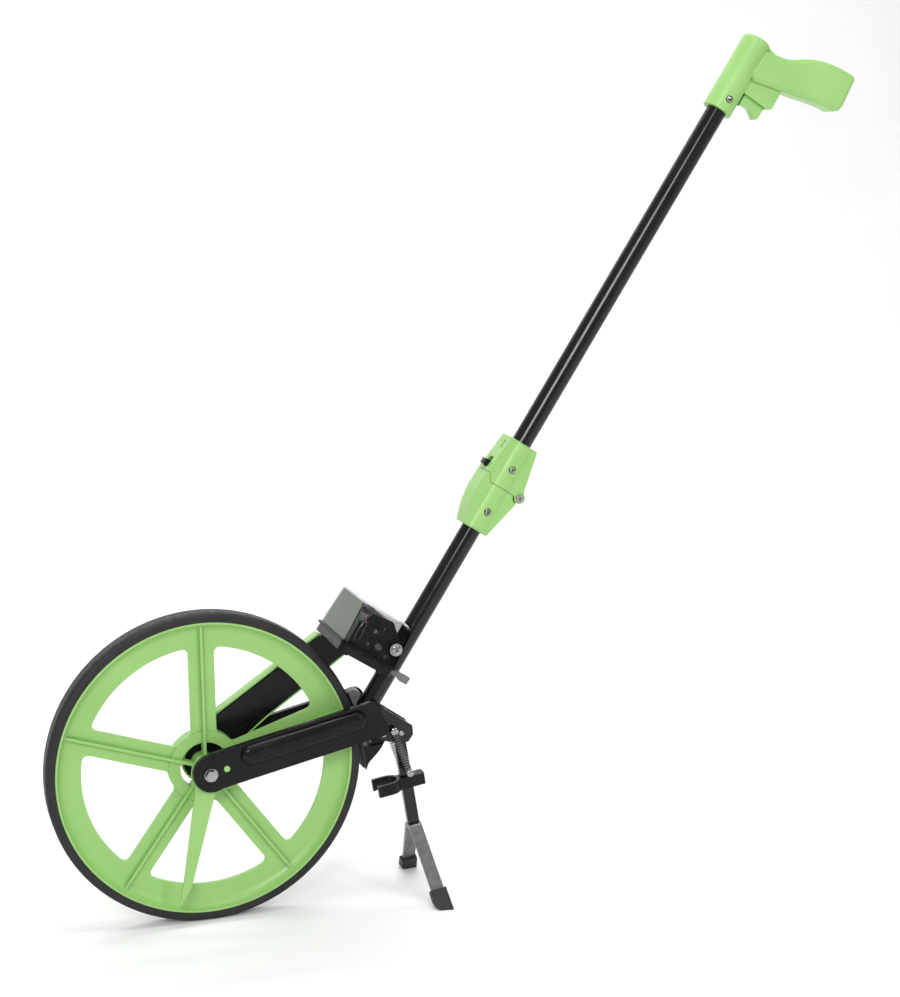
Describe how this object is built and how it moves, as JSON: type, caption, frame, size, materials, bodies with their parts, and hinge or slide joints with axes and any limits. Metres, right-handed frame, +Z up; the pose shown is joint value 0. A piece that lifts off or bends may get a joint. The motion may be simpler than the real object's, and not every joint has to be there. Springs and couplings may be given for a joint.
{
  "type": "measuring wheel",
  "caption": "Folding distance-measuring wheel: spoked wheel on a fork, belt-driven counter, kickstand, folding tube and pistol grip with a brake trigger.",
  "frame": {"origin": "on the floor, under the centre of the whole object's bounding box, as it stands on its wheel and stand", "axes": "+Z up, +X to the rear towards the grip, wheel axle along Y; -Y is the side with the plain fork arm and pointer, +Y the side with the belt cover"},
  "size_m": [0.8703, 0.141, 0.8772],
  "materials": {
    "tyre": "matt rubber with fine cross ribs",
    "green_plastic": "satin moulded apple green",
    "black_plastic": "glossy moulded black",
    "grey_plastic": "satin grey",
    "white_plastic": "satin white with black figures",
    "red_plastic": "satin red with white figures",
    "smoked_hood": "clear smoked acrylic",
    "black_paint": "glossy black enamel",
    "tube_paint": "glossy black coating on drawn tube",
    "zinc_steel": "dull zinc plate",
    "bright_steel": "bright plated steel",
    "wire": "fine stranded steel wire",
    "bronze": "oiled bronze",
    "rubber": "matt moulded rubber"
  },
  "bodies": {
    "frame": {"axle_bolt": "bright_steel", "axle_nut": "bright_steel", "axle_washers": "bright_steel", "axle_spacers": "bright_steel", "near_arm": "black_plastic", "far_arm": "black_plastic", "pointer": "green_plastic", "bracket_plates": "black_paint", "arm_screws": "bright_steel", "fork_rivets": "bright_steel", "spring_studs": "bright_steel", "lower_tube": "tube_paint", "belt_cover_inner": "black_plastic", "belt_cover_outer": "green_plastic", "belt_cover_screws": "bright_steel", "drive_belt": "rubber", "counter_base": "black_plastic", "counter_frame": "black_paint", "counter_mask": "zinc_steel", "drum_shaft": "bright_steel", "counter_hood": "smoked_hood", "hood_screws": "bright_steel", "counter_clamp": "zinc_steel", "reset_pin": "bright_steel", "lower_housing_near": "green_plastic", "lower_housing_far": "green_plastic", "lower_housing_screws": "bright_steel", "hinge_pin": "bright_steel"},
    "wheel": {"tyre": "tyre", "wheel_rim": "green_plastic", "hub_bushes": "bronze", "hub_pulley": "black_plastic"},
    "counter_input": {"counter_pulley": "black_plastic", "number_drum_1": "white_plastic"},
    "tens_drum": {"number_drum_2": "white_plastic"},
    "hundreds_drum": {"number_drum_3": "white_plastic"},
    "thousands_drum": {"number_drum_4": "white_plastic"},
    "top_drum": {"number_drum_5": "red_plastic"},
    "reset": {"reset_lever": "grey_plastic"},
    "brake": {"brake_shoe": "black_plastic", "brake_pad": "rubber", "brake_arm": "zinc_steel"},
    "lower_wire": {"lower_brake_wire": "wire"},
    "stand": {"stand_strut": "black_paint", "stand_legs": "zinc_steel", "stand_feet": "rubber", "stand_clip": "black_plastic", "lower_spring_pin": "bright_steel"},
    "over_centre_springs": {"stand_springs": "zinc_steel"},
    "upper": {"upper_tube": "tube_paint", "upper_housing_near": "green_plastic", "upper_housing_far": "green_plastic", "upper_housing_screws": "bright_steel", "grip_near": "green_plastic", "grip_far": "green_plastic", "grip_screws": "bright_steel", "trigger_spring": "zinc_steel"},
    "latch": {"latch_button": "black_plastic"},
    "trigger_lever": {"trigger": "green_plastic", "upper_brake_wire": "wire"}
  },
  "joints": [
    {"name": "wheel_spin", "type": "hinge", "parent": "frame", "child": "wheel", "pos_m": [-0.276, 0, 0.15915], "axis": [0, 1, 0], "continuous": true},
    {"name": "counter_input_spin", "type": "hinge", "parent": "frame", "child": "counter_input", "pos_m": [-0.10539, 0, 0.29041], "axis": [0, 1, 0], "continuous": true},
    {"name": "tens_drum_spin", "type": "hinge", "parent": "frame", "child": "tens_drum", "pos_m": [-0.10539, 0, 0.29041], "axis": [0, 1, 0], "continuous": true},
    {"name": "hundreds_drum_spin", "type": "hinge", "parent": "frame", "child": "hundreds_drum", "pos_m": [-0.10539, 0, 0.29041], "axis": [0, 1, 0], "continuous": true},
    {"name": "thousands_drum_spin", "type": "hinge", "parent": "frame", "child": "thousands_drum", "pos_m": [-0.10539, 0, 0.29041], "axis": [0, 1, 0], "continuous": true},
    {"name": "top_drum_spin", "type": "hinge", "parent": "frame", "child": "top_drum", "pos_m": [-0.10539, 0, 0.29041], "axis": [0, 1, 0], "continuous": true},
    {"name": "reset_press", "type": "hinge", "parent": "frame", "child": "reset", "pos_m": [-0.1, -0.0181, 0.25281], "axis": [0, 1, 0], "range_deg": [0, 8], "stiffness_Nm_per_rad": 0.2, "springref_deg": -5.73},
    {"name": "stand_fold", "type": "hinge", "parent": "frame", "child": "stand", "pos_m": [-0.0735, 0, 0.17466], "axis": [0, -1, 0], "range_deg": [0, 146]},
    {"name": "spring_swing", "type": "hinge", "parent": "frame", "child": "over_centre_springs", "pos_m": [-0.082, 0, 0.17885], "axis": [0, -1, 0], "range_deg": [0, 124.68], "deforming": ["stand_springs"]},
    {"name": "handle_fold", "type": "hinge", "parent": "frame", "child": "upper", "pos_m": [0.057, 0, 0.41102], "axis": [0, 1, 0], "range_deg": [0, 155]},
    {"name": "latch_slide", "type": "slide", "parent": "upper", "child": "latch", "axis": [0.5446, 0, 0.8387], "range_m": [0, 0.004], "stiffness_N_per_m": 400, "springref_m": -0.002},
    {"name": "trigger_pull", "type": "slide", "parent": "upper", "child": "trigger_lever", "axis": [0.5446, 0, 0.8387], "range_m": [0, 0.004], "stiffness_N_per_m": 900, "springref_m": -0.003, "deforming": ["trigger_spring"]},
    {"name": "lower_wire_pull", "type": "slide", "parent": "frame", "child": "lower_wire", "axis": [0.5446, 0, 0.8387], "range_m": [0, 0.004]},
    {"name": "brake_swing", "type": "hinge", "parent": "frame", "child": "brake", "pos_m": [-0.092, 0, 0.17516], "axis": [0, 1, 0], "range_deg": [0, 6.65]}
  ],
  "couplings": [
    {"joint": "counter_input_spin", "follows": "wheel_spin", "ratio": 1},
    {"joint": "tens_drum_spin", "follows": "wheel_spin", "ratio": 0.1},
    {"joint": "hundreds_drum_spin", "follows": "wheel_spin", "ratio": 0.01},
    {"joint": "thousands_drum_spin", "follows": "wheel_spin", "ratio": 0.001},
    {"joint": "top_drum_spin", "follows": "wheel_spin", "ratio": 0.0001},
    {"joint": "spring_swing", "follows": "stand_fold", "ratio": 0.854},
    {"joint": "lower_wire_pull", "follows": "trigger_pull", "ratio": 1},
    {"joint": "brake_swing", "follows": "trigger_pull", "rad_per_m": 28.99}
  ]
}
